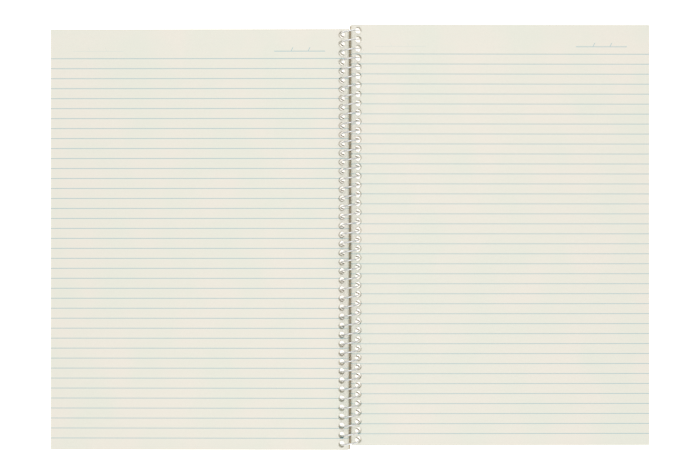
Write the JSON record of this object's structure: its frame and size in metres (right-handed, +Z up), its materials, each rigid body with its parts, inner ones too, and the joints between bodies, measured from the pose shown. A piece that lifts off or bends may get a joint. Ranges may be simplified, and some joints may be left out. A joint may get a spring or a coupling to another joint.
{
  "type": "spiral notebook",
  "caption": "A4 ruled notebook on a single steel spiral, lying open and flat; the front half and a top leaf each side turn about the wire.",
  "frame": {"origin": "on the surface the notebook lies on, below the middle of the open notebook; the wire's axis runs along Y over x = 0", "axes": "+X towards the back-cover (right) half, +Y towards the heads of the pages, +Z up out of the open pages"},
  "size_m": [0.4232, 0.3002, 0.0139],
  "materials": {
    "paper": "uncoated writing paper, ruled",
    "kraft_card": "unbleached kraft board",
    "steel_wire": "nickel-plated spring wire"
  },
  "bodies": {
    "spine_and_back": {"spiral_wire": "steel_wire", "back_cover": "kraft_card", "right_upper_sheets": "paper", "right_lower_sheets": "paper", "right_last_leaf": "paper"},
    "left_last_leaf": {"left_last_leaf": "paper"},
    "front_half": {"front_cover": "kraft_card", "left_upper_sheets": "paper", "left_lower_sheets": "paper"},
    "left_under_leaf": {"left_under_leaf": "paper"},
    "left_top_leaf": {"left_top_leaf": "paper"},
    "right_under_leaf": {"right_under_leaf": "paper"},
    "right_top_leaf": {"right_top_leaf": "paper"}
  },
  "joints": [
    {"name": "front_half_turn", "type": "hinge", "parent": "spine_and_back", "child": "left_last_leaf", "pos_m": [0, 0, 0.00705], "axis": [0, 1, 0], "range_deg": [0, 180.9]},
    {"name": "front_half_walk", "type": "slide", "parent": "left_last_leaf", "child": "front_half", "axis": [0, 1, 0], "range_m": [0, 0.00323]},
    {"name": "left_under_leaf_walk", "type": "slide", "parent": "front_half", "child": "left_under_leaf", "axis": [0, 1, 0], "range_m": [0, 0.00161]},
    {"name": "left_leaf_turn", "type": "hinge", "parent": "left_under_leaf", "child": "left_top_leaf", "pos_m": [0, 0, 0.00705], "axis": [0, -1, 0], "range_deg": [-180, 0]},
    {"name": "right_under_leaf_walk", "type": "slide", "parent": "spine_and_back", "child": "right_under_leaf", "axis": [0, 1, 0], "range_m": [-0.00161, 0]},
    {"name": "right_leaf_turn", "type": "hinge", "parent": "right_under_leaf", "child": "right_top_leaf", "pos_m": [0, 0, 0.00705], "axis": [0, 1, 0], "range_deg": [-180, 0]}
  ],
  "couplings": [
    {"joint": "front_half_walk", "follows": "front_half_turn", "m_per_rad": 0.0010218},
    {"joint": "left_under_leaf_walk", "follows": "left_leaf_turn", "m_per_rad": -0.00051089},
    {"joint": "right_under_leaf_walk", "follows": "right_leaf_turn", "m_per_rad": 0.00051089}
  ]
}
